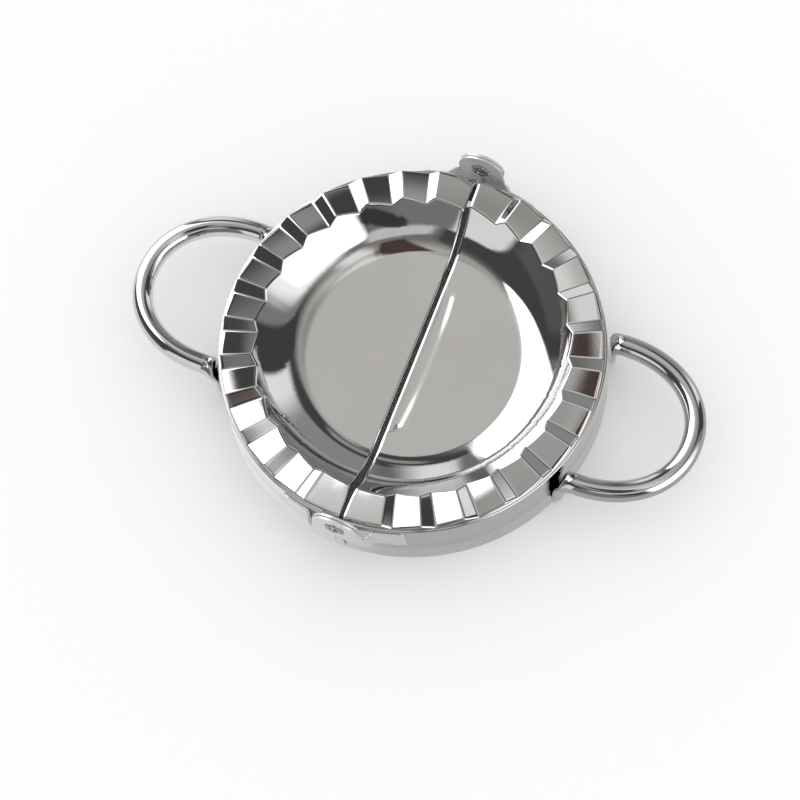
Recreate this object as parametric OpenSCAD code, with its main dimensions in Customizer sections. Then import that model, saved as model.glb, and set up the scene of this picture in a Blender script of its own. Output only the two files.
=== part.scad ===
// Folding dumpling press, lying open on its skirt. All sizes are in millimetres.
// X runs along the two handles, Y along the hinge line, Z up from the cutting edge.

/* [Tooth band] */
// Radius of the outer edge of the tooth band
band_outer = 38.5; // [36:0.5:42]
// Radius of the inner edge of the tooth band at its mean level
band_inner = 31.7; // [30.5:0.1:33]
// Height of the mean tooth level above the cutting edge
band_level = 15.8; // [14.5:0.1:20]
// Number of wide faces on each half
wide_faces = 14; // [10:1:18]
// Angle taken by a narrow face
narrow_angle = 4.1; // [2.5:0.1:5]
// Angle taken by the narrow face nearest the hinge line
end_narrow_angle = 2.9; // [2:0.1:4]
// Angle taken by the wide face at the hinge line
end_wide_angle = 12.3; // [8:0.1:15]
// Height of a tooth from its low edge to its high edge
tooth_height = 1.2; // [0.6:0.1:1.4]

/* [Sheet and split] */
// Thickness of the pressed sheet
sheet = 0.6; // [0.4:0.05:0.8]
// Gap between the two halves at the hinge line
split_gap = 0.8; // [0.6:0.1:1.6]

/* [Bowl] */
// Radius of the upper crease of the bowl
upper_crease_radius = 29.4; // [28:0.1:30]
// Depth of the upper crease below the tooth level
upper_crease_depth = 2.5; // [2.2:0.1:3.2]
// Radius of the lower crease of the bowl
lower_crease_radius = 24.6; // [23.5:0.1:26]
// Depth of the lower crease below the tooth level
lower_crease_depth = 5.35; // [4.6:0.05:5.8]
// Radius of the flat floor
floor_radius = 20.6; // [16:0.2:21.6]
// Depth of the floor below the tooth level
floor_depth = 6.5; // [6.3:0.1:9]

/* [Skirt] */
// Width of the rounded shoulder outside the tooth band
shoulder_width = 0.6; // [0.5:0.1:1.4]
// Extra radius of the skirt at the cutting edge
edge_flare = 0.7; // [0.1:0.1:1]

/* [Handles] */
// Thickness of the round bar of a handle
bar_thickness = 4.3; // [3:0.1:5]
// Distance from the centre to the far end of the bar's centre line
handle_reach = 58.75; // [54:0.25:66]
// Half width of the bar's centre line
handle_half_width = 15.5; // [13:0.1:17]
// Distance from the centre to where the loop of the bar starts
loop_start = 40.1; // [39.9:0.1:42]
// Squareness of the loop, 2 for a plain half ellipse
loop_squareness = 2.1; // [1.9:0.05:2.4]
// Height of the bar's centre line below the mean tooth level
handle_drop = 5.9; // [4:0.1:6.4]
// Distance by which each handle sits off the middle of its half
handle_offset = 0.7; // [0:0.1:1.5]
// Width of the flattened end of the bar
foot_width = 5; // [3.6:0.1:5.4]
// Thickness of the flattened end of the bar
foot_thickness = 1.1; // [0.8:0.1:1.6]
// Length of the flattened end below the bar's centre line
foot_length = 9.3; // [7:0.1:9.4]
// Depth over which the bar turns down onto the skirt
foot_bend = 3; // [2.6:0.1:3.6]
// Angle by which each flattened end leans outwards
foot_lean = 8; // [0:1:12]

/* [Hinge] */
// Height of the hinge axis above the mean tooth level
axis_lift = 1.2; // [0.9:0.1:2]
// Radius of the rounded hinge ear
ear_radius = 4.8; // [4:0.1:5]
// Thickness of the hinge straps and ears
strap_thickness = 0.5; // [0.4:0.05:0.7]
// Distance from the hinge line to the end of a strap
strap_reach = 12.8; // [11:0.1:16]
// Height of a strap
strap_height = 6; // [4.5:0.1:6.5]
// Distance from the mean tooth level down to the top of a strap
strap_drop = 1.7; // [1:0.1:2.4]
// Radius of the upper corner at the end of a strap
strap_corner = 1.2; // [0.5:0.1:2]
// Distance from the hinge line to where the ear bends back to the skirt
ear_bend = 5.2; // [5.1:0.1:6]
// Length over which the ear bends back to the skirt
ear_step = 1.8; // [1.5:0.1:2.4]
// Gap between the skirt and the inner ear
ear_standoff = 1.1; // [0.8:0.05:1.3]
// Gap between the inner ear and the outer ear
ear_gap = 0.15; // [0.1:0.05:0.4]
// Radius of the rivet shank
rivet_radius = 1.4; // [1.2:0.05:1.7]
// Radius of the hole down the middle of the rivet
rivet_bore = 0.85; // [0.5:0.05:0.95]
// Radius of the spread rivet ends
rivet_flange_radius = 2.1; // [1.9:0.05:2.6]
// Thickness of the spread rivet ends
rivet_flange = 0.35; // [0.25:0.05:0.4]
// Gap between the inner ear and the spread rivet end beside it
rivet_play = 0.1; // [0.05:0.05:0.15]
// Radial running clearance of the rivet in the inner ear
rivet_clearance = 0.06; // [0.02:0.01:0.1]

/* [Hidden] */
$fn = 96;
faces = 2 * wide_faces - 1;
wide_angle = (180 - 2 * end_wide_angle - 2 * end_narrow_angle
              - (wide_faces - 3) * narrow_angle) / (wide_faces - 2);
band_mean = (band_outer + band_inner) / 2;
bowl_slope = (band_inner - upper_crease_radius) / upper_crease_depth;
wall_share = 1.35;
tooth_overlap = 1;
mid_crease_radius = (lower_crease_radius + floor_radius) / 2;
mid_crease_depth = lower_crease_depth + 0.68 * (floor_depth - lower_crease_depth);
skirt_outer = band_outer + shoulder_width;
edge_outer = skirt_outer + edge_flare;
shoulder_top = band_level - 0.75 * tooth_height;
seat = 0.03;
bar_level = band_level - handle_drop;
bar_radius = bar_thickness / 2;
foot_radius = edge_outer + seat + foot_thickness / 2;
foot_angle = asin(handle_half_width / foot_radius);
bar_sides = 16;
loop_steps = 16;
fold_steps = 7;
foot_steps = 3;
bar_steps = loop_steps + fold_steps + foot_steps;
axis_level = band_level + axis_lift;
strap_inner = skirt_outer + seat;
strap_outer = strap_inner + strap_thickness;
strap_top = band_level - strap_drop;
strap_bottom = strap_top - strap_height;
strap_edge = split_gap / 2 + 0.3;
flare_top = strap_bottom - 0.2;
inner_ear_face = skirt_outer + ear_standoff;
outer_ear_face = inner_ear_face + strap_thickness + ear_gap;
rivet_start = inner_ear_face - rivet_play - rivet_flange;
rivet_end = outer_ear_face + strap_thickness;

// Angle taken by face number j, counted from the rear end of the hinge line
function face_angle(j) =
    (j == 0 || j == faces - 1) ? end_wide_angle :
    (j == 1 || j == faces - 2) ? end_narrow_angle :
    (j % 2 == 0) ? wide_angle : narrow_angle;

// Angle at which face number j starts
function face_start(j) = j == 0 ? 0 : face_start(j - 1) + face_angle(j - 1);

// Slope of face number j: wide faces rise, narrow faces fall
function face_slope(j) =
    (j % 2 == 0 ? 1 : -1) * tooth_height / (2 * band_mean * sin(face_angle(j) / 2));

// Radius of the inner wall of the tooth band at height z from the tooth level
function wall_radius(z) = band_inner + bowl_slope * z;

// Corner of a sector at radius r, in the direction of face angle a
function sector_corner(r, a) = r * [cos(90 + a), sin(90 + a)];

// Everything below the plane of face j
module below_face(j, way) {
    rotate([0, 0, 90 + face_start(j) + face_angle(j) / 2])
        rotate([atan(way * face_slope(j)), 0, 0])
            translate([0, -30, -30])
                cube([70, 60, 30]);
}

// One tooth from valley to valley, with faces a and b on its ridge
module tooth(a, b, way) {
    from = face_start(a) - tooth_overlap;
    to = face_start(b) + face_angle(b) + tooth_overlap;
    intersection() {
        translate([0, 0, -band_level - 2])
            linear_extrude(height = band_level + 6)
                polygon([sector_corner(20, from), sector_corner(50, from),
                         sector_corner(50, to), sector_corner(20, to)]);
        below_face(a, way);
        below_face(b, way);
    }
}

// Everything below the toothed face, lowered by drop
module below_teeth(way, drop) {
    translate([0, 0, band_level - drop])
        union() {
            translate([0, 0, -band_level - 2])
                cylinder(r = 24, h = band_level);
            if (way > 0) {
                for (j = [0 : 2 : faces - 3]) tooth(j, j + 1, way);
                tooth(faces - 1, faces - 1, way);
            } else {
                tooth(0, 0, way);
                for (j = [1 : 2 : faces - 2]) tooth(j, j + 1, way);
            }
        }
}

// Solid of revolution under the outside of bowl, tooth band, shoulder and skirt
module outside() {
    rotate_extrude()
        polygon([[0, 0],
                 [edge_outer, 0],
                 [skirt_outer, flare_top],
                 [skirt_outer, shoulder_top - 0.9],
                 [skirt_outer - 0.15 * shoulder_width, shoulder_top - 0.45],
                 [skirt_outer - 0.5 * shoulder_width, shoulder_top - 0.13],
                 [skirt_outer - 0.8 * shoulder_width, shoulder_top],
                 [band_outer, shoulder_top],
                 [band_outer, band_level + 2],
                 [wall_radius(2), band_level + 2],
                 [upper_crease_radius, band_level - upper_crease_depth],
                 [lower_crease_radius, band_level - lower_crease_depth],
                 [mid_crease_radius, band_level - mid_crease_depth],
                 [floor_radius, band_level - floor_depth],
                 [0, band_level - floor_depth]]);
}

// Solid of revolution of the space below the sheet
module inside() {
    rotate_extrude()
        polygon([[0, -1],
                 [edge_outer - sheet + edge_flare / flare_top, -1],
                 [skirt_outer - sheet, flare_top],
                 [skirt_outer - sheet, shoulder_top - 1.2],
                 [band_outer - sheet, shoulder_top - sheet - 0.3],
                 [band_outer - sheet, band_level + 2],
                 [wall_radius(2) + wall_share * sheet, band_level + 2],
                 [upper_crease_radius + 0.75 * sheet,
                  band_level - upper_crease_depth - 0.9 * sheet],
                 [lower_crease_radius + 0.6 * sheet,
                  band_level - lower_crease_depth - 0.95 * sheet],
                 [mid_crease_radius + 0.3 * sheet, band_level - mid_crease_depth - sheet],
                 [floor_radius + 0.15 * sheet, band_level - floor_depth - sheet],
                 [0, band_level - floor_depth - sheet]]);
}

// One pressed half, cut off at the hinge line, on the side of negative X
module half_mold(way) {
    intersection() {
        difference() {
            intersection() {
                outside();
                below_teeth(way, 0);
            }
            intersection() {
                inside();
                below_teeth(way, sheet);
            }
        }
        translate([-60 - split_gap / 2, -60, -1])
            cube([60, 120, 40]);
    }
}

// Point number k of the loop's centre line, from its far end to its side
function loop_point(k) =
    let (a = 90 * k / loop_steps)
    [loop_start + (handle_reach - loop_start) * pow(cos(a), 2 / loop_squareness),
     handle_half_width * pow(sin(a), 2 / loop_squareness), bar_level];

// Point at share t of the fold that turns the bar down onto the skirt
function fold_point(t) =
    let (start = loop_point(loop_steps),
         corner = [foot_radius * cos(foot_angle), foot_radius * sin(foot_angle), bar_level],
         end = corner - [0, 0, foot_bend])
    (1 - t) * (1 - t) * start + 2 * t * (1 - t) * corner + t * t * end;

// Point at share t of the straight foot, which leans away from the loop
function foot_point(t) =
    let (sunk = foot_length - foot_bend - foot_width / 2 * (1 - sin(90 * t)))
    fold_point(1) + sunk * [-sin(foot_lean) * sin(foot_angle),
                            sin(foot_lean) * cos(foot_angle), -cos(foot_lean)];

// Point number n of the whole half: loop, then fold, then foot
function bar_point(n) =
    n <= loop_steps ? loop_point(n)
    : n <= loop_steps + fold_steps ? fold_point((n - loop_steps) / fold_steps)
    : foot_point((n - loop_steps - fold_steps) / foot_steps);

// Point n seen in the plane Y = 0 when n is negative
function any_point(n) =
    let (q = bar_point(abs(n)))
    [q[0], n < 0 ? -q[1] : q[1], q[2]];

// Direction of the bar at point n
function bar_along(n) =
    let (v = any_point(min(n + 1, bar_steps)) - any_point(n - 1))
    v / norm(v);

// Share of the fold passed at point n, from 0 to 1
function folded(n) = min(1, max(0, (n - loop_steps) / fold_steps));

// Sideways direction at point n: away from the loop, then along the skirt
function bar_side(n) =
    let (t = folded(n), along = bar_along(n),
         level = n <= loop_steps ? [along[1], -along[0], 0]
                                 : [-t * sin(foot_angle), 1 - t + t * cos(foot_angle), 0],
         square = level - (level * along) * along)
    square / norm(square);

// Share of flattening at point n, from round bar to flat foot
function flattened(n) =
    let (t = min(1, max(0, (folded(n) - 0.2) / 0.5)))
    t * t * (3 - 2 * t);

// Share of the full width at point n, less than 1 in the rounded end
function end_width(n) =
    let (k = max(0, n - loop_steps - fold_steps) / foot_steps)
    max(0.3, cos(90 * k));

// Ring of points round the bar at point n
function bar_ring(n) =
    let (c = bar_point(n), u = bar_side(n), v = cross(u, bar_along(n)), q = flattened(n),
         wide = end_width(n) * ((1 - q) * bar_radius + q * foot_width / 2),
         thick = (1 - q) * bar_radius + q * foot_thickness / 2,
         p = 1 - 0.5 * q)
    [for (m = [0 : bar_sides - 1])
        let (a = 360 * m / bar_sides)
        c + u * wide * sign(cos(a)) * pow(abs(cos(a)), p)
          + v * thick * sign(sin(a)) * pow(abs(sin(a)), p)];

// Rings joined to one closed skin with flat ends
module skin(rings) {
    n = len(rings[0]);
    last = len(rings) - 1;
    polyhedron(
        points = [for (r = rings) for (q = r) q],
        faces = concat(
            [[for (m = [0 : n - 1]) n - 1 - m]],
            [for (k = [0 : last - 1]) for (m = [0 : n - 1])
                [k * n + m, k * n + (m + 1) % n, (k + 1) * n + (m + 1) % n]],
            [for (k = [0 : last - 1]) for (m = [0 : n - 1])
                [k * n + m, (k + 1) * n + (m + 1) % n, (k + 1) * n + m]],
            [[for (m = [0 : n - 1]) last * n + m]]),
        convexity = 6);
}

// One complete handle on the side of positive X
module handle() {
    side_rings = [for (n = [0 : bar_steps]) bar_ring(n)];
    translate([0, handle_offset, 0])
        skin(concat([for (n = [bar_steps : -1 : 1])
                        [for (q = side_rings[n]) [q[0], -q[1], q[2]]]],
                    side_rings));
}

// Side view of a strap and its ear, on the side of positive X
module strap_side() {
    translate([0, axis_level])
        circle(r = ear_radius);
    polygon([[strap_edge, strap_bottom],
             [ear_bend + ear_step, strap_bottom],
             [ear_bend + ear_step, strap_top],
             [ear_bend, strap_top - 1],
             [0.9 * ear_radius, axis_level + 0.9 * ear_radius * sin(20)],
             [0, axis_level]]);
    difference() {
        translate([ear_bend, strap_bottom])
            square([strap_reach - ear_bend, strap_height]);
        translate([0, strap_top - 2])
            square([ear_bend + ear_step, 4]);
        translate([strap_reach - strap_corner, strap_top - strap_corner])
            difference() {
                square(2 * strap_corner);
                circle(r = strap_corner);
            }
    }
}

// Curved strap, step and flat ear, before they are cut to their outline
module strap_sheet(face) {
    far = ear_bend + ear_step;
    side = sqrt(strap_inner * strap_inner - far * far);
    intersection() {
        difference() {
            cylinder(r = strap_outer, h = 40);
            translate([0, 0, -1])
                cylinder(r = strap_inner, h = 42);
        }
        translate([far - 0.1, 0, 0])
            cube([strap_reach, 60, 40]);
    }
    linear_extrude(height = 40)
        polygon([[ear_bend - 0.1, face],
                 [ear_bend - 0.1, face + strap_thickness],
                 [ear_bend + 0.25, face + strap_thickness],
                 [far + 0.35, side + strap_thickness - 0.05],
                 [far + 0.2, side + 0.15],
                 [far - 0.1, side + 0.05]]);
    translate([-ear_radius - 1, face, 0])
        cube([ear_radius + 1 + ear_bend, strap_thickness, 40]);
}

// A strap with its ear at the rear end, on the side of positive X
module hinge_ear(face, hole) {
    difference() {
        intersection() {
            strap_sheet(face);
            translate([0, 60, 0])
                rotate([90, 0, 0])
                    linear_extrude(height = 60)
                        strap_side();
        }
        translate([0, face - 1, axis_level])
            rotate([-90, 0, 0])
                cylinder(r = hole, h = 3);
    }
}

// The ear next to the skirt, which turns on the rivet
module inner_ear() {
    hinge_ear(inner_ear_face, rivet_radius + rivet_clearance);
}

// The ear outside it, which holds the rivet
module outer_ear() {
    hinge_ear(outer_ear_face, rivet_radius);
}

// One tubular rivet at the rear end
module rivet() {
    translate([0, 0, axis_level])
        rotate([-90, 0, 0])
            difference() {
                union() {
                    translate([0, 0, rivet_start])
                        cylinder(r = rivet_flange_radius, h = rivet_flange);
                    translate([0, 0, rivet_start])
                        cylinder(r = rivet_radius, h = rivet_end - rivet_start);
                    translate([0, 0, rivet_end])
                        cylinder(r = rivet_flange_radius, h = rivet_flange);
                }
                translate([0, 0, rivet_start - 1])
                    cylinder(r = rivet_bore, h = rivet_end - rivet_start + 3);
            }
}

module left_half_mold() {
    color([0.78, 0.79, 0.80])
        half_mold(1);
}

module right_half_mold() {
    color([0.74, 0.75, 0.77])
        mirror([1, 0, 0])
            half_mold(-1);
}

module left_handle() {
    color([0.70, 0.71, 0.73])
        rotate([0, 0, 180])
            handle();
}

module right_handle() {
    color([0.70, 0.71, 0.73])
        handle();
}

module rear_outer_hinge_ear() {
    color([0.66, 0.67, 0.69])
        mirror([1, 0, 0])
            outer_ear();
}

module front_outer_hinge_ear() {
    color([0.66, 0.67, 0.69])
        rotate([0, 0, 180])
            outer_ear();
}

module rear_inner_hinge_ear() {
    color([0.62, 0.63, 0.65])
        inner_ear();
}

module front_inner_hinge_ear() {
    color([0.62, 0.63, 0.65])
        mirror([0, 1, 0])
            inner_ear();
}

module rear_hinge_rivet() {
    color([0.55, 0.56, 0.58])
        rivet();
}

module front_hinge_rivet() {
    color([0.55, 0.56, 0.58])
        rotate([0, 0, 180])
            rivet();
}

left_half_mold();
right_half_mold();
left_handle();
right_handle();
rear_outer_hinge_ear();
front_outer_hinge_ear();
rear_inner_hinge_ear();
front_inner_hinge_ear();
rear_hinge_rivet();
front_hinge_rivet();
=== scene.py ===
import math
import bmesh
import bpy
import numpy as np
from mathutils import Matrix, Vector


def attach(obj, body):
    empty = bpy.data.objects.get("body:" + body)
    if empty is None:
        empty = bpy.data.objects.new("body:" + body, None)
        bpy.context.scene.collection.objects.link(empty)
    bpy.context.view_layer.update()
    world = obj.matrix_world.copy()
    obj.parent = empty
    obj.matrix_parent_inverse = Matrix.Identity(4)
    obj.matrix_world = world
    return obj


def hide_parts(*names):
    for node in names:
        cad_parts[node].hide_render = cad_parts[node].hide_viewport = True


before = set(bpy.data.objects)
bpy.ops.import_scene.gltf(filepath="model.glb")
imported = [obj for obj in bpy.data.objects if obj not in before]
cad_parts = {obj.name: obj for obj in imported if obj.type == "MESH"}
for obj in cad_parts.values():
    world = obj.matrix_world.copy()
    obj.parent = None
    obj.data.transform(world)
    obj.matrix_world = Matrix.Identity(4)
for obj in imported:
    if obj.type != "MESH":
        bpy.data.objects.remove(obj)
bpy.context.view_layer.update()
mm = 0.001                      # lengths are in mm, unless a note says metres


# camera
cameraSet = {
    "place": (70.19, -124.79, 369.22),      # from the middle of the cutting edge
    "right": (0.931, 0.3592, -0.0645),
    "back": (0.1803, -0.2992, 0.937),
    "lens": 85.75,
    "sensor": 36,
    "clip": (0.01, 30),         # metres
}


def buildCamera(c):
    # axes square to one another: right less its share along back, and up = back x right
    back = np.array(c["back"]) / np.linalg.norm(c["back"])
    right = np.array(c["right"])
    right = right - back * (right @ back)
    right = right / np.linalg.norm(right)
    turn = Matrix(np.stack([right, np.cross(back, right), back], 1).tolist())
    data = bpy.data.cameras.new("photoCamera")
    data.lens = c["lens"]
    data.sensor_width = c["sensor"]
    data.clip_start, data.clip_end = c["clip"]
    cam = bpy.data.objects.new("photoCamera", data)
    cam.matrix_world = Matrix.Translation(Vector(c["place"]) * mm) @ turn.to_4x4()
    bpy.context.scene.collection.objects.link(cam)
    bpy.context.scene.camera = cam


buildCamera(cameraSet)
print("camera placed")


# node tools
mixA, mixB, mixOut = 6, 7, 2    # where a Mix node keeps its colours


def plug(tree, node, inputs):
    # an input that is given a socket is linked to it, any other is set
    for key, value in inputs.items():
        if isinstance(value, bpy.types.NodeSocket):
            tree.links.new(value, node.inputs[key])
        else:
            node.inputs[key].default_value = value
    return node


def addNode(tree, kind, inputs=None, **settings):
    # a new node with its settings and its inputs
    node = tree.nodes.new("ShaderNode" + kind)
    for key, value in settings.items():
        setattr(node, key, value)
    return plug(tree, node, inputs or {})


# finishes; rough is the range of the roughness, grain and ripple are scale and strength of a bump
finishes = {
    "moldSteel": {"colour": (0.66, 0.655, 0.65), "metal": 1.0, "rough": (0.02, 0.06),
                  "grain": (2500, 0.015), "ripple": (60, 0.012)},
    "handleSteel": {"colour": (0.64, 0.64, 0.645), "metal": 1.0, "rough": (0.02, 0.07),
                    "grain": (1800, 0.03), "ripple": (90, 0.02)},
    "earSteel": {"colour": (0.66, 0.66, 0.67), "metal": 0.5, "rough": (0.22, 0.36),
                 "grain": (2200, 0.2), "ripple": (300, 0.05)},
    "rivetSteel": {"colour": (0.4, 0.4, 0.41), "metal": 1.0, "rough": (0.1, 0.24),
                   "grain": (2600, 0.3), "ripple": (500, 0.15)},
}
clouds = {
    "tint": (60, 3),            # scale and detail of the clouds in the colour
    "gloss": (220, 4),          # the same of the clouds in the roughness
    "colourSpread": 0.03,       # how far the colour strays to either side
    "grainDetail": 2,
    "rippleDetail": 1,
    "grainDepth": 0.0001,       # metres
    "rippleDepth": 0.001,       # metres
    "noiseRange": (0.3, 0.7),   # the part of the noise that is stretched over a spread
}


def steel(name, f):
    # colour: two tints mixed by wide clouds; roughness: smaller clouds stretched between two
    # limits; normal: a fine grain, then the slight ripple that the press leaves
    material = bpy.data.materials.new(name)
    material.use_nodes = True
    tree = material.node_tree
    place = addNode(tree, "TexCoord").outputs["Object"]

    def noise(scale, detail):
        # smooth noise of the place on the piece, from 0 to 1
        return addNode(tree, "TexNoise", {"Vector": place, "Scale": scale,
                                          "Detail": detail}).outputs["Fac"]

    def spread(value, low, high):
        # the middle of the noise's range drawn out in a straight line from low to high
        least, most = clouds["noiseRange"]
        return addNode(tree, "MapRange", {"Value": value, "From Min": least, "From Max": most,
                                          "To Min": low, "To Max": high}).outputs["Result"]

    darker = [v * (1 - clouds["colourSpread"]) for v in f["colour"]]
    lighter = [min(1, v * (1 + clouds["colourSpread"])) for v in f["colour"]]
    tint = addNode(tree, "Mix", {"Factor": spread(noise(*clouds["tint"]), 0, 1),
                                 mixA: (*darker, 1), mixB: (*lighter, 1)}, data_type="RGBA")
    fine = addNode(tree, "Bump", {
        "Strength": f["grain"][1], "Distance": clouds["grainDepth"],
        "Height": noise(f["grain"][0], clouds["grainDetail"])})
    wide = addNode(tree, "Bump", {
        "Strength": f["ripple"][1], "Distance": clouds["rippleDepth"],
        "Height": noise(f["ripple"][0], clouds["rippleDetail"]),
        "Normal": fine.outputs["Normal"]})
    plug(tree, tree.nodes["Principled BSDF"], {
        "Metallic": f["metal"], "Base Color": tint.outputs[mixOut],
        "Roughness": spread(noise(*clouds["gloss"]), *f["rough"]),
        "Normal": wide.outputs["Normal"]})
    return material


steels = {name: steel(name, f) for name, f in finishes.items()}
print("finishes ready:", ", ".join(steels))


# mesh tools
mergeReach = 2e-7               # metres, points nearer than this become one
leastEdge = 1e-8                # metres, shorter edges are dissolved


def unit(v):
    # each vector divided by its own length
    return v / np.linalg.norm(v, axis=-1, keepdims=True)


def eased(t):
    # smooth step from 0 to 1: 3 t^2 - 2 t^3
    t = np.clip(t, 0, 1)
    return t * t * (3 - 2 * t)


def bent(a, corner, b, t):
    # curve of second degree: (1 - t)^2 a + 2 t (1 - t) corner + t^2 b
    return (1 - t) ** 2 * a + 2 * t * (1 - t) * corner + t * t * b


def ringed(index):
    # the first column once more after the last one, so that a grid closes on itself
    return np.concatenate([index, index[:, :1]], 1)


def gridFaces(index, flip=False):
    # quads of a 2-D array of point numbers: each point with its neighbours below and to the right
    a, b, c, d = index[:-1, :-1], index[1:, :-1], index[1:, 1:], index[:-1, 1:]
    quads = np.stack([a, d, c, b] if flip else [a, b, c, d], -1)
    return quads.reshape(-1, 4)


def addPiece(name, points, faces, body, node, material):
    # points times mm and faces as given, then doubles merged and every face turned outwards
    mesh = bpy.data.meshes.new(name)
    mesh.from_pydata((points * mm).tolist(), [], faces)
    work = bmesh.new()
    work.from_mesh(mesh)
    bmesh.ops.remove_doubles(work, verts=work.verts, dist=mergeReach)
    bmesh.ops.dissolve_degenerate(work, edges=work.edges, dist=leastEdge)
    bmesh.ops.recalc_face_normals(work, faces=work.faces)
    work.to_mesh(mesh)
    work.free()
    mesh.update()
    mesh.polygons.foreach_set("use_smooth", np.ones(len(mesh.polygons), bool))
    mesh.materials.append(material)
    piece = bpy.data.objects.new(name, mesh)
    bpy.context.scene.collection.objects.link(piece)
    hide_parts(node)
    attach(piece, body)
    return piece


# the two pressed halves
mold = {
    "level": 15.8,              # mean tooth level above the cutting edge
    "bandOuter": 38.5,          # radius of the toothed flange
    "bandMean": 35.1,
    "toothHeight": 1.2,
    "wideFaces": 14,
    "narrow": 4.1,              # degrees
    "endNarrow": 2.9,
    "endWide": 12.3,
    "endSlope": 0.45,           # share of the slope that the two front end faces keep
    "endRadius": 35.0,          # where the columns beside the cut take their tooth height
    "edgeSoft": 0.42,           # half width of a rounded tooth edge, degrees
    "edgeColumns": 5,
    "flatFrom": 1.7,            # where a face is flat again, in half widths of the edge
    "faceColumns": (0.18, 0.34, 0.5, 0.66, 0.82),
    "endColumns": (5.6, 7.8, 10),       # degrees from either end
    "cutColumns": (0, 0.06, 0.14, 0.24, 0.36, 0.5, 0.66, 0.85, 1.05),   # from the cut
    "sheet": 0.6,
    "gap": 0.4,                 # from the hinge line to either half
    "shoulder": -0.9,
    "skirt": 39.1,
    "foot": 39.8,
    "flare": -7.9,
    "footRound": 0.15,          # how far the cutting edge is rounded down
    "cutRound": 0.03,           # the same along the cut
    "floor": -6.5,
    "floorEdge": 20.9,          # where the bowl's wall begins to rise
    "floorRim": 17.0,
    "wallCurve": 9.03,          # radius of the wall at the floor
    "wallRows": 30,
    "wallTop": 0.93,            # share of the wall's width that its rows take up
    "underShift": 0.28,         # how much wider the bowl's edge is on the under side
    # lengths of the rounded edges, from the skirt up and in to the bowl
    "fillets": (1.6, 0.3, 0.16, 0.34, 0.32),
    "steps": (4, 4, 3, 4, 4),
    "outerEdge": (0.12, 0.35),  # more rounding for a tooth's outer edge: all round, in a valley
    "guard": 0.4,               # a guard point lies this much further out than a fillet
    "longest": (0.45, 0.49),    # most of a flat that a fillet and its guard point may take
    "faceRows": (0, 0.2, 0.4, 0.6, 0.8),
    "crown": 0.06,              # how far a tooth face bulges along its length
    "crownEnd": 0.97,           # share of the face's length that bulges
    "crownLow": (-0.8, -0.6),   # heights between which the bulge sets in
    # the cut opens a little over the bowl's wall, round this radius
    "climb": {"radius": 30.6, "reach": 4.5, "rear": 0.1, "front": 0.28},
    # at the front teeth the rolled edge along the cut shrinks to this share of its size
    "frontLip": {"radius": 30, "over": 3, "share": 0.5},
    # rows of the floor, by their distance from the cut
    "floorRows": (12.5, 9.5, 7.5, 6.2, 5.4, 4.8, 4.3, 3.8, 3.3, 2.8, 2.3, 1.8, 1.4,
                  1.05, 0.85, 0.66, 0.5, 0.36, 0.24, 0.14, 0.06, 0),
    # groove beside the cut: distance of its middle from the cut at the ends, and how far it bows
    # away from there; how it fades at the rim; share of its depth at mid length, and from which
    # share of the floor's radius it has all of it
    "groove": {"near": 1.3, "bow": 0.9, "halfWidth": 2.2, "fade": 2,
               "middle": 0.72, "full": 0.6},
}
# lip is width and drop of the rolled edge, groove the depth of the floor's groove
halves = {
    "left_half_mold": {"side": -1, "way": 1, "body": "left_half",
                       "lip": (0.4, 0.34), "groove": 0.0},
    "right_half_mold": {"side": 1, "way": -1, "body": "right_half",
                        "lip": (0.75, 0.5), "groove": 0.15},
}


def toothFaces(way):
    # widths, starts and middles of the faces, in degrees from the rear end of the hinge line, and
    # their slopes: tooth height over the face's chord at the mean radius, up and down in turn
    count = 2 * mold["wideFaces"] - 1
    even = np.arange(count) % 2 == 0
    wide = (180 - 2 * mold["endWide"] - 2 * mold["endNarrow"]
            - (mold["wideFaces"] - 3) * mold["narrow"]) / (mold["wideFaces"] - 2)
    width = np.where(even, wide, mold["narrow"])
    width[[0, -1]] = mold["endWide"]
    width[[1, -2]] = mold["endNarrow"]
    start = np.cumsum(width) - width
    chord = 2 * mold["bandMean"] * np.sin(np.radians(width / 2))
    slope = np.where(even, 1, -1) * way * mold["toothHeight"] / chord
    middle = start + width / 2
    # the front end face lies flatter, hung on its edge with the next face
    hang = np.sin(np.radians(width[-1] / 2)) / mold["endSlope"]
    slope[-1] *= mold["endSlope"]
    middle[-1] = start[-1] + np.degrees(np.arcsin(hang))
    return width, start, middle, slope


def faceRise(angle, middle, slope):
    # height of a tooth face per mm of radius: slope times the sine of the angle from its middle
    return np.sin(np.radians(angle - middle)) * slope


def toothColumns(way):
    # angles of the columns and the teeth's height per mm of radius at each of them: straight over
    # a face, and a curve of second degree over the edge between two faces
    width, start, middle, slope = toothFaces(way)
    soft, edge = mold["edgeSoft"], start[1:]
    t = np.linspace(0, 1, mold["edgeColumns"])
    curve = bent(faceRise(edge - soft, middle[:-1], slope[:-1])[:, None],
                 faceRise(edge, middle[:-1], slope[:-1])[:, None],
                 faceRise(edge + soft, middle[1:], slope[1:])[:, None], t)
    flat = [edge - mold["flatFrom"] * soft, edge + mold["flatFrom"] * soft]
    flat += [start[2:-1:2] + width[2:-1:2] * f for f in mold["faceColumns"]]
    flat += [np.array(mold["endColumns"]), 180 - np.array(mold["endColumns"])]
    flat = np.concatenate(flat)
    face = np.clip(np.searchsorted(start, flat, side="right") - 1, 0, len(start) - 1)
    angles = np.concatenate([(edge[:, None] + soft * (2 * t - 1)).ravel(), flat])
    heights = np.concatenate([curve.ravel(), faceRise(flat, middle[face], slope[face])])
    order = np.argsort(angles)
    return angles[order], heights[order], middle, slope


def cutHalf(r, rear):
    # distance from the hinge line to the cut: the gap, and an eased bump over the bowl's wall
    climb = mold["climb"]
    bump = eased(1 - np.abs(r - climb["radius"]) / climb["reach"])
    return mold["gap"] + np.where(rear, climb["rear"], climb["front"]) * bump


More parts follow.
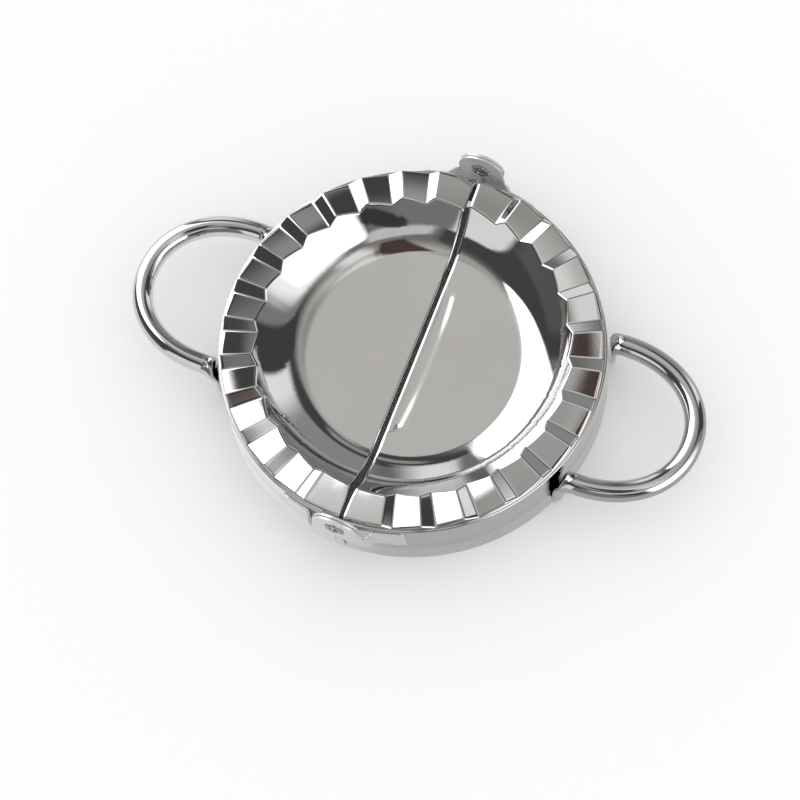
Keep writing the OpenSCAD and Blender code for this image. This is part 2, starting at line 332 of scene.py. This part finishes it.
def lipDrop(reach, lip, points):
    # quarter of an ellipse over the last bit of width before the cut, smaller at the front teeth
    front = mold["frontLip"]
    radius = np.hypot(points[..., 0], points[..., 1])
    teeth = np.clip((radius - front["radius"]) / front["over"], 0, 1) * (points[..., 1] < 0)
    size = 1 - (1 - front["share"]) * teeth
    q = np.clip(1 - reach / (lip[0] * size), 0, 1)
    return lip[1] * size * (1 - np.sqrt(1 - q * q))


def rounded(corners, fillets, steps):
    # polyline with each inner corner swapped for a curve of second degree, and one guard point
    # just outside either end of it so that the flats stay flat; corners are arrays of equal shape
    # and a fillet that is a pair has a length of its own on either side
    rows = [corners[0]]
    most, mostGuard = mold["longest"]
    for k in range(1, len(corners) - 1):
        corner = corners[k]
        toA, toB = corners[k - 1] - corner, corners[k + 1] - corner
        lengthA, lengthB = (np.linalg.norm(v, axis=-1, keepdims=True) for v in (toA, toB))
        onFace = isinstance(fillets[k - 1], tuple)
        wishA, wishB = fillets[k - 1] if onFace else (fillets[k - 1],) * 2
        cutA, cutB = np.minimum(wishA, most * lengthA), np.minimum(wishB, most * lengthB)
        guardA = np.minimum(cutA * (1 + mold["guard"]), mostGuard * lengthA)
        guardB = np.minimum(cutB * (1 + mold["guard"]), mostGuard * lengthB)
        a, b = corner + toA / lengthA * cutA, corner + toB / lengthB * cutB
        rows.append(corner + toA / lengthA * guardA)
        rows += [bent(a, corner, b, t) for t in np.linspace(0, 1, steps[k - 1] + 1)]
        # after the outer edge of a tooth face come the rows that carry its crown
        after = toB / lengthB * guardB
        rows += [corner + after + (toB - after) * f for f in (mold["faceRows"] if onFace else (0,))]
    rows.append(corners[-1])
    return np.stack(rows)


def skinProfile(h, under):
    # radius and height of one skin for each column: the skirt, the shoulder, the tooth face
    # z = h r, and the wall z = floor + (r - edge)^2 / 2c; the under side lies one sheet further in
    sheet, shift = (mold["sheet"], mold["underShift"]) if under else (0, 0)
    curve, floorEdge = mold["wallCurve"], mold["floorEdge"]
    # tooth face and wall meet where both are equal, which is the larger root for r
    half = floorEdge + curve * h
    inner = half + np.sqrt(half ** 2 - floorEdge ** 2 - 2 * curve * mold["floor"])
    share = np.linspace(mold["wallTop"], 0, mold["wallRows"])[:, None]
    wallR = floorEdge + (inner - floorEdge) * share
    wallZ = mold["floor"] + (wallR - floorEdge) ** 2 / (2 * curve)
    lean = np.arctan((wallR - floorEdge) / curve)
    wall = np.stack([wallR + sheet * np.sin(lean), wallZ - sheet * np.cos(lean)], -1)

    def corner(r, z):
        # one point of the profile for every column
        return np.stack([r + 0 * h, z + 0 * h], -1)

    skirt, band = mold["skirt"] - sheet, mold["bandOuter"] - sheet
    line = [corner(mold["foot"] - sheet, mold["footRound"] - mold["level"]),
            corner(skirt, mold["flare"]), corner(skirt, mold["shoulder"] - sheet),
            corner(band, mold["shoulder"] - sheet), corner(band, h * band - sheet),
            corner(inner + shift, h * (inner + shift) - sheet), wall[0]]
    fillets = list(mold["fillets"])
    valley = np.clip(0.5 - h * mold["bandMean"] / mold["toothHeight"], 0, 1)[:, None]
    more, moreInValley = mold["outerEdge"]
    fillets[3] = (fillets[3], fillets[3] + more + moreInValley * valley)
    line = np.concatenate([rounded(line, fillets, mold["steps"]), wall[1:],
                           corner(mold["floorRim"], wall[-1, 0, 1])[None]])
    return line[..., 0], line[..., 1]


def floorGrid(rim, depth):
    # the flat floor: rows from the rim straight to the cut, each at its own distance from it or at
    # its share of the way; the groove is depth times the squared cosine across its bowed middle
    g = mold["groove"]
    rows = np.array(mold["floorRows"])[:, None]
    share = np.linspace(1, 0, len(rows) + 1)[1:, None]
    reach = np.minimum(rows, share * (-rim[:, 0] - mold["gap"]))
    floor = np.stack([-(mold["gap"] + reach), rim[:, 1] + 0 * reach, rim[0, 2] + 0 * reach], -1)
    along = np.abs(floor[..., 1]) / mold["floorRim"]
    inside = mold["floorRim"] - np.hypot(floor[..., 0], floor[..., 1])
    side = np.clip((reach - g["near"] - g["bow"] * (1 - along ** 2)) / g["halfWidth"], -1, 1)
    ends = np.clip(inside / g["fade"], 0, 1)
    deep = g["middle"] + (1 - g["middle"]) * np.clip(along / g["full"], 0, 1) ** 2
    floor[..., 2] -= depth * ends * deep * np.cos(side * math.pi / 2) ** 2
    return floor, reach


def moldGrid(way, groove, under):
    # one skin of the half on the side of negative X, as rows by columns of points: the profile of
    # each column carried round the bowl, the columns beside the cut parallel to it; gives also
    # the distance of every point from the cut
    angles, heights, middle, slope = toothColumns(way)
    near = np.array(mold["cutColumns"])
    n = len(near)
    endAngle = np.degrees(np.arcsin((mold["gap"] + near) / mold["endRadius"]))
    h = np.concatenate([faceRise(endAngle, middle[0], slope[0]), heights,
                        faceRise(180 - endAngle, middle[-1], slope[-1])[::-1]])
    r, z = skinProfile(h, under)
    cut = cutHalf(r, np.arange(len(h)) < len(h) / 2)
    turn = np.tile(np.concatenate([0 * near, np.radians(angles), 0 * near]), (len(r), 1))
    turn[:, :n] = np.arcsin((cut[:, :n] + near) / r[:, :n])
    turn[:, -n:] = math.pi - np.arcsin((cut[:, -n:] + near[::-1]) / r[:, -n:])
    points = np.stack([-r * np.sin(turn), r * np.cos(turn), z], -1)
    if not under:
        # crown of the tooth faces: a parabola along their length
        bulge = (r - mold["bandMean"]) / (mold["bandOuter"] - mold["bandMean"])
        low, high = mold["crownLow"]
        face = np.clip((z - low) / (high - low), 0, 1) * (np.abs(bulge) < mold["crownEnd"])
        points[..., 2] += mold["crown"] * (1 - bulge ** 2) * face
    floor, reach = floorGrid(points[-1], groove)
    reach = np.concatenate([-points[..., 0] - cut, reach])
    return np.concatenate([points, floor]) + [0, 0, mold["level"]], reach


def buildHalf(node, p):
    # two skins joined all round by a strip with a middle row, which rounds the sheet's edge
    top, reach = moldGrid(p["way"], p["groove"], False)
    low = moldGrid(p["way"], p["groove"], True)[0]
    top = top + unit(low - top) * lipDrop(reach, p["lip"], top)[..., None]
    rows, columns = top.shape[:2]
    count = rows * columns
    index = np.arange(count).reshape(rows, columns)
    ring = np.concatenate([index[:, 0], index[-1, 1:], index[-2::-1, -1], index[0, -2:0:-1]])
    skins = np.concatenate([top.reshape(-1, 3), low.reshape(-1, 3)])
    # along the cutting edge the strip is rounded down, everywhere else towards the hinge line
    foot = (np.arange(len(ring)) >= 2 * rows + columns - 2)[:, None]
    foot[[0, 2 * rows + columns - 3]] = True
    middle = ((skins[ring] + skins[ring + count]) / 2
              + np.where(foot, [0, 0, -mold["footRound"]], [mold["cutRound"], 0, 0]))
    strip = np.stack([ring, 2 * count + np.arange(len(ring)), ring + count])
    faces = [gridFaces(index), gridFaces(index + count, flip=True), gridFaces(ringed(strip))]
    points = np.concatenate([skins, middle]) * [-p["side"], 1, 1]
    return addPiece(node + "_shell", points, np.concatenate(faces).tolist(), p["body"],
                    node, steels["moldSteel"])


for node, p in halves.items():
    buildHalf(node, p)
    print(node, "built")


# the two handles
handle = {
    "bar": 4.3,                 # thickness of the round bar
    "reach": 58.75,             # from the hinge line to the middle of the loop
    "halfWidth": 15.5,
    "start": 40.1,
    "square": 2.1,              # 2 is an ellipse, more is squarer
    "level": 9.9,
    "offset": 0.7,
    "footWidth": 5.0,
    "footThick": 1.1,
    "footLength": 9.3,
    "footBend": 3.0,
    "footLean": 8.0,            # degrees
    "skirtEdge": 39.83,
    "points": (49, 19, 13),     # along half of the loop, the fold and the foot
    "sides": 36,
    "flatten": (0.2, 0.7),      # shares of the fold between which the bar is pressed flat
    "flatPower": 0.5,           # 1 keeps the section an ellipse, less makes it a rounded bar
    "tipWidth": 0.25,           # share of the width left at the very end
}
handles = {
    "left_handle": {"body": "left_half", "turn": -1},
    "right_handle": {"body": "right_half", "turn": 1},
}


def handlePath():
    # half of the centre line: a quarter of a slightly squared ellipse, a turn down as a curve of
    # second degree, and a straight foot; gives points, share of the fold passed, foot still left
    h = handle
    footRadius = h["skirtEdge"] + h["footThick"] / 2
    footAngle = math.asin(h["halfWidth"] / footRadius)
    sine, cosine = math.sin(footAngle), math.cos(footAngle)
    loopPoints, foldPoints, footPoints = h["points"]
    a, power = np.linspace(0, math.pi / 2, loopPoints), 2 / h["square"]
    loop = np.stack([h["start"] + (h["reach"] - h["start"]) * np.abs(np.cos(a)) ** power,
                     h["halfWidth"] * np.sin(a) ** power, 0 * a + h["level"]], -1)
    t = np.linspace(0, 1, foldPoints)[1:]
    corner = np.array([footRadius * cosine, footRadius * sine, h["level"]])
    end = corner - [0, 0, h["footBend"]]
    fold = bent(loop[-1], corner, end, t[:, None])
    k = np.sin(np.linspace(0, 1, footPoints)[1:] * math.pi / 2)
    lean = math.radians(h["footLean"])
    down = np.array([-math.sin(lean) * sine, math.sin(lean) * cosine, -math.cos(lean)])
    straight = h["footLength"] - h["footBend"]
    foot = end + down * straight * k[:, None]
    folded = np.concatenate([0 * a, t, 1 + 0 * k])
    left = straight * np.concatenate([1 + 0 * a, 1 + 0 * t, 1 - k])
    return np.concatenate([loop, fold, foot]), folded, left, (sine, cosine)


def handleRings():
    # a circle carried along the centre line, pressed on the way down into a flat foot whose end
    # is round: width = sqrt(1 - back^2) over the last half width
    h = handle
    points, folded, left, (sine, cosine) = handlePath()
    whole = np.concatenate([points[:0:-1] * [1, -1, 1], points])
    along = unit(np.gradient(whole, axis=0))[len(points) - 1:]
    q = folded[:, None]
    level = np.where(q > 0, np.concatenate([-q * sine, 1 - q + q * cosine, 0 * q], 1),
                     np.stack([along[:, 1], -along[:, 0], 0 * along[:, 0]], 1))
    side = unit(level - np.sum(level * along, 1, keepdims=True) * along)
    lift = np.cross(side, along)
    flatStart, flatEnd = h["flatten"]
    flat = eased((folded - flatStart) / (flatEnd - flatStart))
    back = np.clip(1 - left / (h["footWidth"] / 2), 0, 1)
    tip = np.maximum(h["tipWidth"], np.sqrt(1 - back ** 2))
    wide = tip * ((1 - flat) * h["bar"] + flat * h["footWidth"]) / 2
    thick = ((1 - flat) * h["bar"] + flat * h["footThick"]) / 2
    power = 1 - (1 - h["flatPower"]) * flat[:, None]
    a = np.linspace(0, 2 * math.pi, h["sides"], endpoint=False)[None, :]
    u = wide[:, None] * np.sign(np.cos(a)) * np.abs(np.cos(a)) ** power
    v = thick[:, None] * np.sign(np.sin(a)) * np.abs(np.sin(a)) ** power
    half = points[:, None] + u[..., None] * side[:, None] + v[..., None] * lift[:, None]
    return np.concatenate([half[:0:-1] * [1, -1, 1], half]) + [0, h["offset"], 0]


def buildHandle(node, p):
    # the rings as one closed tube, a face over either end; the other handle is turned half round
    rings = handleRings() * [p["turn"], p["turn"], 1]
    index = np.arange(rings.size // 3).reshape(rings.shape[:2])
    faces = gridFaces(ringed(index)).tolist()
    faces += [index[0].tolist(), index[-1, ::-1].tolist()]
    return addPiece(node + "_bar", rings.reshape(-1, 3), faces, p["body"], node,
                    steels["handleSteel"])


for node, p in handles.items():
    buildHandle(node, p)
print("handles built")


# the four hinge ears
ear = {
    "axis": 17.0,               # height of the rivets
    "radius": 4.8,
    "arc": (20, 274),           # degrees of the round part, anticlockwise from the strap's side
    "thick": 0.5,
    "hole": 1.46,
    "start": 0.7,               # from the hinge line to the strap's lower corner
    "strapTop": 14.1,
    "strapLow": 8.1,
    "strapDip": 1.0,            # how much lower the strap's top starts at the ear
    "reach": 12.8,
    "corner": 1.2,
    "bend": 5.2,                # where the sheet leaves the ear's plane
    "step": 1.8,
    "onSkirt": 39.13,           # inner face of the strap
    "arcPoints": 64,
    "sideRows": 9,
    "columns": (19, 9, 7),      # over the step, the strap and its rounded corner
    "rings": (0, 0.04, 0.3, 0.65, 0.96, 1),     # from the hole to the outline
    "edge": 0.12,               # width of the broken edge
    "edgeSegments": 2,
    "edgeAngle": 40,            # degrees
}
ears = {
    "rear_inner_hinge_ear": {"body": "right_half", "face": 40.2, "flip": (1, 1)},
    "front_inner_hinge_ear": {"body": "right_half", "face": 40.2, "flip": (1, -1)},
    "rear_outer_hinge_ear": {"body": "left_half", "face": 40.85, "flip": (-1, 1)},
    "front_outer_hinge_ear": {"body": "left_half", "face": 40.85, "flip": (-1, -1)},
}


def earDepth(x, face):
    # Y of the inner face over X: flat ear, eased step, then the round skirt y = sqrt(r^2 - x^2)
    skirt = np.sqrt(ear["onSkirt"] ** 2 - x ** 2)
    t = eased((x - ear["bend"]) / ear["step"])
    return np.where(x < ear["bend"] + ear["step"], (1 - t) * face + t * skirt, skirt)


def earPlate():
    # rays from the rivet hole out to the outline, hole + (outline - hole) * share: an arc round
    # the rivet, the flank down, the base, the joint with the strap, and back up to the arc
    e = ear
    centre = np.array([0, e["axis"]])
    a = np.radians(np.linspace(*e["arc"], e["arcPoints"]))
    arc = centre + e["radius"] * np.stack([np.cos(a), np.sin(a)], -1)
    t = np.linspace(0, 1, e["sideRows"])[1:, None]
    low = np.array([e["start"], e["strapLow"]])
    foot = np.array([e["bend"], e["strapLow"]])
    head = np.array([e["bend"], e["strapTop"] - e["strapDip"]])
    flank, base = arc[-1] + (low - arc[-1]) * t, low + (foot - low) * t
    joint, rise = foot + (head - foot) * t, head + (arc[0] - head) * t[:-1]
    outline = np.concatenate([arc, flank, base, joint, rise])
    turn = np.arctan2(outline[:, 1] - e["axis"], outline[:, 0])
    hole = centre + e["hole"] * np.stack([np.cos(turn), np.sin(turn)], -1)
    plate = hole + (outline - hole) * np.array(e["rings"])[:, None, None]
    return plate, len(arc) + len(flank) + len(base) - 1


def earStrap():
    # columns from the ear to the strap's end, closer where the sheet bends and at the round corner
    e = ear
    over, flat, corner = (np.linspace(0, 1, n)[1:] for n in e["columns"])
    bendEnd, cornerStart = e["bend"] + e["step"], e["reach"] - e["corner"]
    x = np.concatenate([e["bend"] + e["step"] * (1 - np.cos(over * math.pi)) / 2,
                        bendEnd + (cornerStart - bendEnd) * flat,
                        cornerStart + e["corner"] * np.sin(corner * math.pi / 2)])
    k = np.clip((x - cornerStart) / e["corner"], 0, 1)
    top = (e["strapTop"] - e["strapDip"] * (1 - np.clip((x - e["bend"]) / e["step"], 0, 1))
           - e["corner"] * (1 - np.sqrt(1 - k * k)))
    z = e["strapLow"] + (top[:, None] - e["strapLow"]) * np.linspace(0, 1, e["sideRows"])
    return np.stack([x[:, None] + 0 * z, z], -1)


def buildEar(node, p):
    # plate and strap laid on the depth curve, a second skin along the sheet's own normal, and
    # side walls along every edge that only one face of a skin has
    plate, first = earPlate()
    strap = earStrap()
    index = np.arange(plate.size // 2).reshape(plate.shape[:2])
    joint = index[-1:, first:first + ear["sideRows"]]
    onward = plate.size // 2 + np.arange(strap.size // 2).reshape(strap.shape[:2])
    quads = np.concatenate([gridFaces(ringed(index)), gridFaces(np.concatenate([joint, onward]))])
    x, z = np.concatenate([plate.reshape(-1, 2), strap.reshape(-1, 2)]).T
    dx = 1e-3
    slope = (earDepth(x + dx, p["face"]) - earDepth(x - dx, p["face"])) / (2 * dx)
    inner = np.stack([x, earDepth(x, p["face"]), z], -1)
    outer = inner + unit(np.stack([-slope, 1 + 0 * x, 0 * x], -1)) * ear["thick"]
    n = len(inner)
    edges = np.stack([quads, np.roll(quads, -1, 1)], -1).reshape(-1, 2)
    border = edges[~np.isin(edges @ [n, 1], edges @ [1, n])]
    faces = [quads, quads[:, ::-1] + n, np.concatenate([border[:, ::-1], border + n], 1)]
    piece = addPiece(node + "_plate", np.concatenate([inner, outer]) * [*p["flip"], 1],
                     np.concatenate(faces).tolist(), p["body"], node,
                     steels["earSteel"])
    bevel = piece.modifiers.new("softEdge", "BEVEL")
    bevel.width = ear["edge"] * mm
    bevel.segments = ear["edgeSegments"]
    bevel.limit_method = "ANGLE"
    bevel.angle_limit = math.radians(ear["edgeAngle"])
    bevel.harden_normals = False
    return piece


for node, p in ears.items():
    buildEar(node, p)
print("hinge ears built")


# the two rivets
rivet = {
    "shank": 1.4,
    "bore": 0.85,
    "head": 2.1,
    "start": 39.75,             # from the middle of the mold to either end
    "end": 41.7,
    "petals": 6,
    "notch": 0.6,               # how far a notch cuts in from the edge of the head
    "notchDepth": 0.2,
    "notchPower": 0.45,         # less makes the notches narrower
    "rolled": (0.1, 0.9),       # distances from the bore between which a notch grows
    "split": (0.5, 0.2),        # distances from either end between which it grows
    "sides": 96,
}
rivets = {"rear_hinge_rivet": 1, "front_hinge_rivet": -1}


def rivetProfile():
    # radius and distance from the middle of the mold, from the inner rolled end to the outer one
    bore, shank, head, s, e = (rivet[k] for k in ("bore", "shank", "head", "start", "end"))
    return np.array([
        [bore, s + 0.25], [bore + 0.12, s + 0.08], [bore + 0.4, s], [head - 0.15, s],
        [head, s + 0.12], [head, s + 0.26], [head - 0.1, s + 0.35], [shank + 0.02, s + 0.35],
        [shank, s + 0.4], [shank, e - 0.4], [shank + 0.02, e - 0.35], [head - 0.1, e - 0.35],
        [head, e - 0.27], [head, e - 0.18], [head - 0.3, e - 0.04], [shank, e],
        [bore + 0.25, e - 0.02], [bore, e - 0.25]])


def buildRivet(node, turn):
    # the profile turned round the axis; both ends are split in petals, notched by
    # 1 - |sin(petals a / 2)|^power in radius and depth
    r = rivet
    radius, along = rivetProfile().T[..., None]
    a = np.linspace(0, 2 * math.pi, r["sides"], endpoint=False)[None, :]
    near, far = r["rolled"]
    deep, shallow = r["split"]
    rolled = np.clip((radius - r["bore"] - near) / (far - near), 0, 1)
    outerEnd = np.clip((along - r["end"] + deep) / (deep - shallow), 0, 1) * rolled
    innerEnd = np.clip((r["start"] + deep - along) / (deep - shallow), 0, 1) * rolled
    notch = 1 - np.abs(np.sin(a * r["petals"] / 2)) ** r["notchPower"]
    radius = radius - (outerEnd + innerEnd) * notch * r["notch"]
    depth = along - (outerEnd - innerEnd) * notch * r["notchDepth"]
    points = np.stack([radius * np.cos(a), depth, ear["axis"] + radius * np.sin(a)], -1)
    index = np.arange(points.size // 3).reshape(points.shape[:2])
    index = ringed(np.concatenate([index, index[:1]]))
    return addPiece(node + "_tube", points.reshape(-1, 3) * [turn, turn, 1],
                    gridFaces(index).tolist(), "left_half", node,
                    steels["rivetSteel"])


for node, turn in rivets.items():
    buildRivet(node, turn)
print("rivets built")


# floor and light
studio = {
    "floorColour": (0.93, 0.93, 0.93),
    "floorRadius": 3,           # metres
    "floorDrop": 0.00002,       # metres below the cutting edge
    "floorRough": 0.9,
    "floorGloss": 0.1,
    "floorSides": 96,
    "floorSeen": (0.87, 0.53),  # light of the floor in the steel, left and right of the object
    "floorTurn": (-16, 12),     # where it changes from one to the other
    "floorShade": 39.0,         # hardly any light on the floor inside this radius
    "floorDark": 0.05,          # share of the light left there
    "skyLight": 1.06,           # plain light all round, on everything but the steel's gloss
    "ground": (0.2, 0.2, 0.2),  # what the gloss sees between the panels
    # panels round the object: corners as azimuth and elevation, softness of the edge, light;
    # a later panel covers an earlier one, and each must be convex
    "panels": [
        ("frontDark", [(-84, -12), (-84, 66), (-150, 68), (-177, 62), (-177, -12)],
         0.04, (0.07, 0.07, 0.07)),
        ("frontStripes", [(-92, -12), (-96, 20), (-137, 20), (-137, -12)],
         0.07, (0.12, 0.12, 0.12)),
        ("frontLeftWall", [(-141, -12), (-141, 28), (-146, 37.5),
                           (-165, 40), (-175, 38), (-173, -12)],
         0.04, (0.95, 0.95, 0.95)),
        ("frontWall", [(150, -12), (155, 38), (-173, 38), (-171, -12)],
         0.04, (0.23, 0.23, 0.23)),
        ("frontGlow", [(134, 40), (142, 38), (178, 38), (176, 52), (150, 55), (130, 54)],
         0.05, (0.7, 0.7, 0.7)),
        ("upperDark", [(-46, 28), (0, 28), (36, 26), (57, 33), (66, 44),
                       (80, 51), (100, 54), (125, 58), (170, 75), (-100, 75)],
         0.04, (0.06, 0.06, 0.06)),
        ("ceiling", [(-50, 55), (-20, 48), (20, 52), (60, 54),
                     (100, 57), (150, 62), (-150, 66), (-110, 62)],
         0.28, (0.66, 0.645, 0.62)),
        ("ceilingDim", [(-5, 60), (0, 73), (45, 76), (60, 66), (40, 60)],
         0.12, (0.38, 0.37, 0.355)),
        ("rearShade", [(-40, 36), (-30, 58), (0, 58.5), (25, 60), (50, 52), (60, 36), (10, 30)],
         0.07, (0.07, 0.07, 0.07)),
        ("rearWall", [(-12, -12), (-14, 37), (35.6, 32.5), (40, -12)],
         0.05, (0.33, 0.33, 0.33)),
        ("rearGlow", [(22, -12), (22, 38), (60, 38), (60, -12)],
         0.12, (1.05, 1.05, 1.05)),
        ("sideDark", [(36, -12), (36.5, 34), (36, 52), (62, 50), (61, -12)],
         0.035, (0.065, 0.065, 0.065)),
        ("rightGrey", [(59, -12), (60, 36), (66, 46), (100, 50), (100, -12)],
         0.04, (0.26, 0.26, 0.26)),
        ("rightSpill", [(72, -12), (72, 42), (82, 49), (110, 53), (118, -12)],
         0.11, (1.3, 1.3, 1.3)),
        ("ceilingShade", [(-96, 67), (-110, 66), (-145, 70), (-130, 84), (-96, 84)],
         0.08, (0.46, 0.45, 0.44)),
        ("zenith", [(40, 76), (110, 76), (100, 86), (20, 86)],
         0.04, (0.95, 0.95, 0.94)),
        ("rightBox", [(84, -12), (83, 36), (90, 44), (108, 48),
                      (128, 48), (140, 36), (132, 14), (131, -12)],
         0.05, (2.2, 2.2, 2.2)),
        ("frontBlack", [(160, 41), (150, 41), (133, 26), (134, 16), (142, 16), (160, 32)],
         0.03, (0.05, 0.05, 0.05)),
        ("sidePatch", [(100, 57), (124, 57), (130, 72), (94, 72)],
         0.06, (1, 1, 1)),
        ("ceilingDark", [(-140, 80), (-150, 87), (100, 88), (122, 76),
                         (138, 60), (158, 59), (176, 72)],
         0.035, (0.09, 0.06, 0.055)),
        ("rearLeft", [(-23, -12), (-23, 38), (-38, 33), (-38, -12)],
         0.09, (1, 1, 1)),
        ("rearWedge", [(-12, 41), (-36, 34), (-41, 34), (-38, 61), (-20, 62)],
         0.03, (0.07, 0.07, 0.07)),
        ("rearStripe", [(-37, -12), (-37.5, 34), (-42, 34), (-44, -12)],
         0.03, (0.22, 0.22, 0.22)),
        ("rearLamp", [(-29, 42), (-27, 50), (-3, 53), (-1, 44.5)],
         0.03, (0.36, 0.36, 0.36)),
        ("boxSpill", [(-42, 50), (-38, 64), (-60, 69), (-84, 66), (-84, 50)],
         0.12, (1.1, 1.1, 1.1)),
        ("leftBox", [(-45, -12), (-41, 33), (-36, 60), (-112, 60),
                     (-113, 52), (-104, 45), (-92, 14), (-84, -12)],
         0.025, (2.4, 2.4, 2.4)),
    ],
}


def direction(azimuth, elevation):
    # unit vector from azimuth, from the rear towards the right handle, and elevation, in degrees
    a, e = math.radians(azimuth), math.radians(elevation)
    return Vector((math.sin(a) * math.cos(e), math.cos(a) * math.cos(e), math.sin(e)))


def buildStudio(c):
    # the gloss sees the panels, painted over one another; all else gets one plain light
    world = bpy.data.worlds.new("studioWorld")
    bpy.context.scene.world = world
    world.use_nodes = True
    tree = world.node_tree
    tree.nodes.clear()
    look = addNode(tree, "TexCoord").outputs["Generated"]

    def halfSpace(normal, soft):
        # 1 on the side of the normal, 0 on the other: a smooth step of the dot product
        dot = addNode(tree, "VectorMath", {0: look, 1: normal}, operation="DOT_PRODUCT")
        return addNode(tree, "MapRange", {"Value": dot.outputs["Value"], "From Min": -soft,
                                          "From Max": soft},
                       interpolation_type="SMOOTHSTEP").outputs["Result"]

    def panelShare(corners, soft):
        # product of the half spaces behind its sides, which are planes through the middle
        points = [direction(*q) for q in corners]
        middle = sum(points, Vector((0, 0, 0)))
        share = 1.0
        for a, b in zip(points, points[1:] + points[:1]):
            normal = a.cross(b).normalized()
            side = halfSpace(normal if normal.dot(middle) > 0 else -normal, soft)
            share = addNode(tree, "Math", {0: share, 1: side}, operation="MULTIPLY").outputs[0]
        return share

    colour = (*c["ground"], 1)
    for name, corners, soft, light in c["panels"]:
        colour = addNode(tree, "Mix", {"Factor": panelShare(corners, soft), mixA: colour,
                                       mixB: (*light, 1)}, data_type="RGBA").outputs[mixOut]
    seen = addNode(tree, "Background", {"Color": colour})
    plain = addNode(tree, "Background", {"Color": (1, 1, 1, 1), "Strength": c["skyLight"]})
    path = addNode(tree, "LightPath").outputs
    gloss = addNode(tree, "Math", {0: path["Is Glossy Ray"], 1: path["Is Singular Ray"]},
                    operation="MAXIMUM")
    choose = addNode(tree, "MixShader", {"Fac": gloss.outputs[0], 1: plain.outputs[0],
                                         2: seen.outputs[0]})
    addNode(tree, "OutputWorld", {"Surface": choose.outputs[0]})


def buildFloor(c):
    # a pale disc; the gloss sees it as a light that turns from one strength to the other across
    # the object, times a small share inside the skirt's radius
    a = np.linspace(0, 2 * math.pi, c["floorSides"], endpoint=False)
    rim = np.stack([c["floorRadius"] * np.cos(a), c["floorRadius"] * np.sin(a),
                    0 * a - c["floorDrop"]], -1)
    mesh = bpy.data.meshes.new("studioFloor")
    mesh.from_pydata(rim.tolist(), [], [list(range(len(rim)))])
    paint = bpy.data.materials.new("floorPaint")
    paint.use_nodes = True
    tree = paint.node_tree
    place = addNode(tree, "TexCoord").outputs["Object"]
    across = addNode(tree, "SeparateXYZ", {0: place}).outputs["X"]
    start, end = c["floorTurn"]
    turned = addNode(tree, "MapRange", {
        "Value": across, "From Min": start * mm, "From Max": end * mm,
        "To Min": c["floorSeen"][0], "To Max": c["floorSeen"][1]}, interpolation_type="SMOOTHSTEP")
    reach = addNode(tree, "VectorMath", {0: place}, operation="LENGTH")
    beyond = addNode(tree, "Math", {0: reach.outputs["Value"], 1: c["floorShade"] * mm},
                     operation="GREATER_THAN")
    least = addNode(tree, "Math", {0: beyond.outputs[0], 1: c["floorDark"]}, operation="MAXIMUM")
    glow = addNode(tree, "Math", {0: turned.outputs["Result"], 1: least.outputs[0]},
                   operation="MULTIPLY")
    seen = addNode(tree, "Emission", {"Strength": glow.outputs[0]})
    plain = plug(tree, tree.nodes["Principled BSDF"], {
        "Base Color": (*c["floorColour"], 1), "Roughness": c["floorRough"],
        "Specular IOR Level": c["floorGloss"]})
    gloss = addNode(tree, "LightPath").outputs["Is Glossy Ray"]
    choose = addNode(tree, "MixShader", {"Fac": gloss, 1: plain.outputs[0], 2: seen.outputs[0]})
    plug(tree, tree.nodes["Material Output"], {"Surface": choose.outputs[0]})
    mesh.materials.append(paint)
    floor = bpy.data.objects.new("studioFloor", mesh)
    bpy.context.scene.collection.objects.link(floor)


buildStudio(studio)
buildFloor(studio)
bpy.context.scene.view_settings.view_transform = "Standard"
bpy.context.scene.view_settings.look = "None"
print("studio ready")
